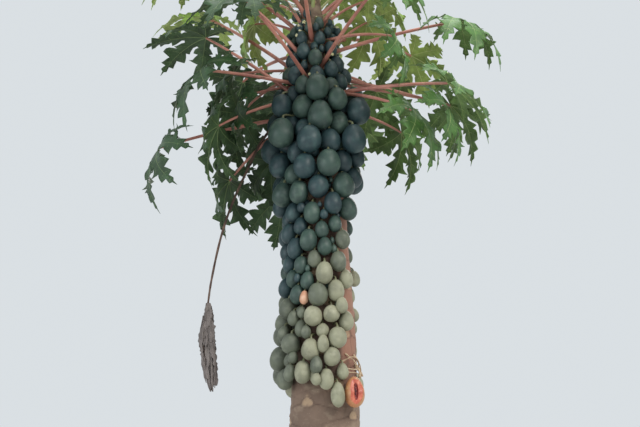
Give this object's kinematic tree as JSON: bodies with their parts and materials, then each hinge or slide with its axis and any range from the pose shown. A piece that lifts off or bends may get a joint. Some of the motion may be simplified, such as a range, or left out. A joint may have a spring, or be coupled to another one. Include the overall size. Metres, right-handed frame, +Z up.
{
  "type": "papaya tree",
  "caption": "Single-stemmed papaya tree in full bearing, with fruit crowded along the upper trunk under a crown of long-stalked lobed leaves.",
  "frame": {"origin": "middle of the flat cut under the trunk, at ground level", "axes": "+Z up along the trunk, -Y towards the side that the tree was seen from, +X to the right of that view"},
  "size_m": [2.3098, 2.3705, 4.7884],
  "materials": {
    "bark": "rough reddish-brown bark with pale leaf scars",
    "leaf": "soft matt green blades with pale ribs, on pinkish-red stalks",
    "fruit": "waxy skin, dark blue-green above and pale grey-olive below",
    "ripe_fruit": "ripe orange-red flesh, opened, with a brown-orange skin",
    "dry_leaf": "dry, rolled and ragged, grey-brown"
  },
  "bodies": {
    "root": {"trunk": "bark", "crown_tip": "leaf", "leaf_01": "leaf", "leaf_02": "leaf", "leaf_03": "leaf", "leaf_04": "leaf", "leaf_05": "leaf", "leaf_06": "leaf", "leaf_07": "leaf", "leaf_08": "leaf", "leaf_09": "leaf", "leaf_10": "leaf", "leaf_11": "leaf", "leaf_12": "leaf", "leaf_13": "leaf", "leaf_14": "leaf", "leaf_15": "leaf", "leaf_16": "leaf", "leaf_17": "leaf", "leaf_18": "leaf", "leaf_19": "leaf", "leaf_20": "leaf", "leaf_21": "leaf", "leaf_22": "leaf", "leaf_23": "leaf", "leaf_24": "leaf", "leaf_25": "leaf", "leaf_26": "leaf", "withered_leaf": "dry_leaf", "fruit_bunch_01": "fruit", "fruit_bunch_02": "fruit", "fruit_bunch_03": "fruit", "fruit_bunch_04": "fruit", "fruit_bunch_05": "fruit", "fruit_bunch_06": "fruit", "fruit_bunch_07": "fruit", "fruit_bunch_08": "fruit", "fruit_bunch_09": "fruit", "fruit_bunch_10": "fruit", "fruit_bunch_11": "fruit", "fruit_bunch_12": "fruit", "fruit_bunch_13": "fruit", "fruit_bunch_14": "fruit", "fruit_bunch_15": "fruit", "fruit_bunch_16": "fruit", "fruit_bunch_17": "fruit", "fruit_bunch_18": "fruit", "fruit_bunch_19": "fruit", "fruit_bunch_20": "fruit", "fruit_bunch_21": "fruit", "fruit_bunch_22": "fruit", "fruit_bunch_23": "fruit", "fruit_bunch_24": "fruit", "opened_fruit": "ripe_fruit"}
  },
  "joints": []
}
